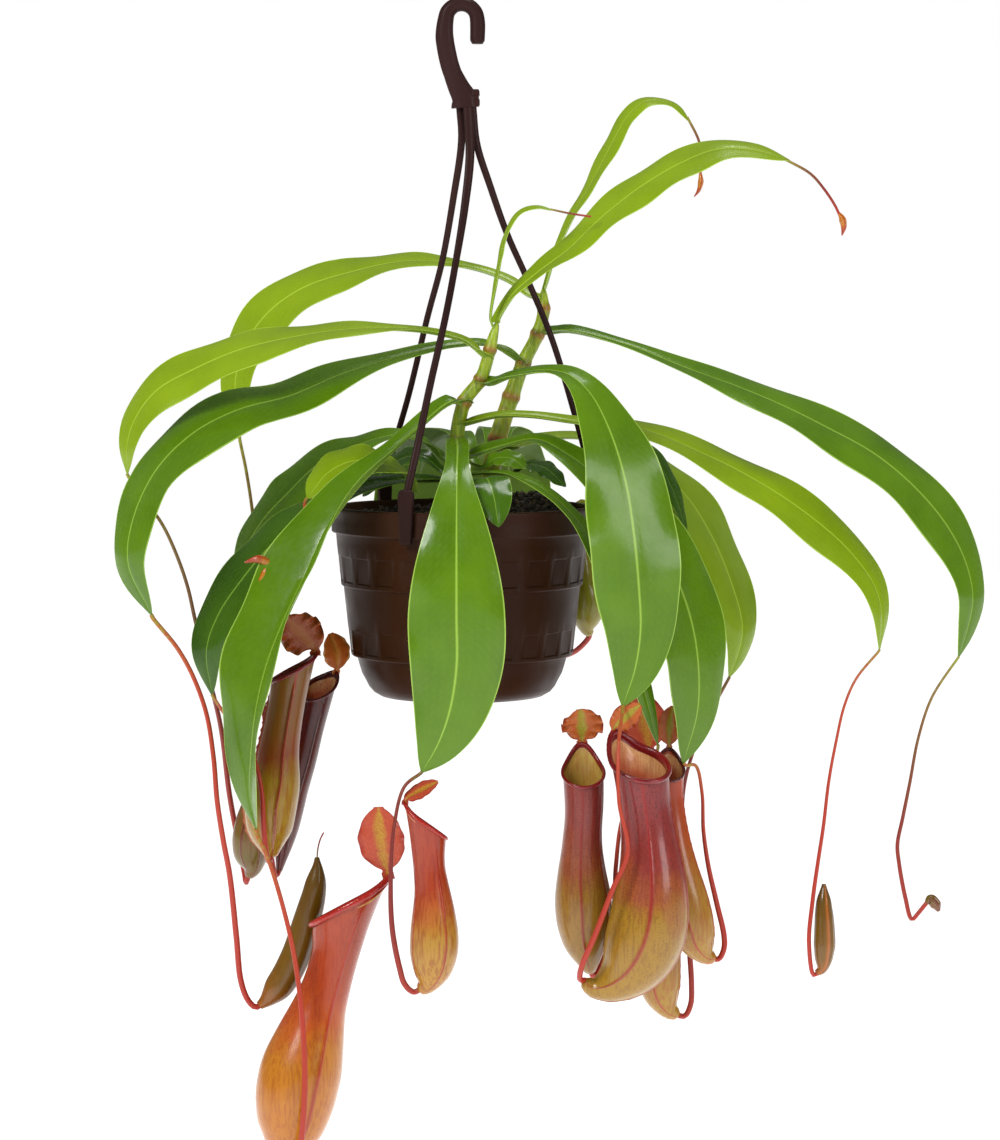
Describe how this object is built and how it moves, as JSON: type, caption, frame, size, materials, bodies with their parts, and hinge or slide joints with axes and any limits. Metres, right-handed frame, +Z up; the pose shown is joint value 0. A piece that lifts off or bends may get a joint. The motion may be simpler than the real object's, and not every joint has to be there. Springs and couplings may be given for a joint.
{
  "type": "hanging pitcher plant",
  "caption": "Tropical pitcher plant in a brown plastic hanging pot: strap leaves arch over the rim, and tendrils from their tips carry lidded pitchers below it",
  "frame": {"origin": "the inside top of the hanger's hook, where it rests on its rod", "axes": "+Z up along the pot's axis, +Y to the plant's back, +X to the right as seen from its front"},
  "size_m": [0.511, 0.2278, 0.6864],
  "materials": {
    "pot_plastic": "semi-gloss dark brown",
    "hanger_plastic": "semi-gloss purple brown",
    "compost": "rough damp compost",
    "stem": "satin yellow-green bark",
    "leaf": "glossy green leaf",
    "young_leaf": "glossy light green leaf",
    "tendril": "smooth red-brown stalk",
    "pitcher": "waxy red and ochre pitcher",
    "dark_pitcher": "waxy dark maroon pitcher"
  },
  "bodies": {
    "root": {"hanger_hook": "hanger_plastic", "hanger_strand_front": "hanger_plastic", "hanger_strand_left": "hanger_plastic", "hanger_strand_right": "hanger_plastic", "leaf_back": "leaf", "leaf_back_left": "leaf", "leaf_crown_blunt": "leaf", "leaf_crown_front": "leaf", "leaf_crown_left": "leaf", "leaf_crown_long": "young_leaf", "leaf_crown_right": "leaf", "leaf_front": "leaf", "leaf_front_left": "leaf", "leaf_front_right": "leaf", "leaf_left_behind": "leaf", "leaf_left_large": "leaf", "leaf_left_low": "leaf", "leaf_left_middle": "young_leaf", "leaf_left_short": "young_leaf", "leaf_left_top": "young_leaf", "leaf_right_behind": "young_leaf", "leaf_right_dark": "leaf", "leaf_right_large": "leaf", "leaf_right_low": "leaf", "leaf_right_middle": "young_leaf", "leaf_top": "young_leaf", "leaf_top_narrow": "young_leaf", "leaf_top_small": "young_leaf", "pitcher_back": "pitcher", "pitcher_bud_right": "pitcher", "pitcher_closed_left": "pitcher", "pitcher_closed_right": "pitcher", "pitcher_front": "pitcher", "pitcher_front_left": "pitcher", "pitcher_left_behind": "pitcher", "pitcher_left_dark": "dark_pitcher", "pitcher_left_front": "pitcher", "pitcher_right_behind": "pitcher", "pitcher_right_big": "pitcher", "pitcher_right_front": "pitcher", "pitcher_right_low": "pitcher", "pot": "pot_plastic", "soil": "compost", "stem_back": "stem", "stem_front": "stem", "tendril_back": "tendril", "tendril_front": "tendril", "tendril_front_left": "tendril", "tendril_front_right": "tendril", "tendril_inner": "tendril", "tendril_left_large": "tendril", "tendril_left_low": "tendril", "tendril_left_middle": "tendril", "tendril_left_short": "tendril", "tendril_left_top": "tendril", "tendril_right_behind": "tendril", "tendril_right_large": "tendril", "tendril_right_low": "tendril", "tendril_right_middle": "tendril"}
  },
  "joints": []
}
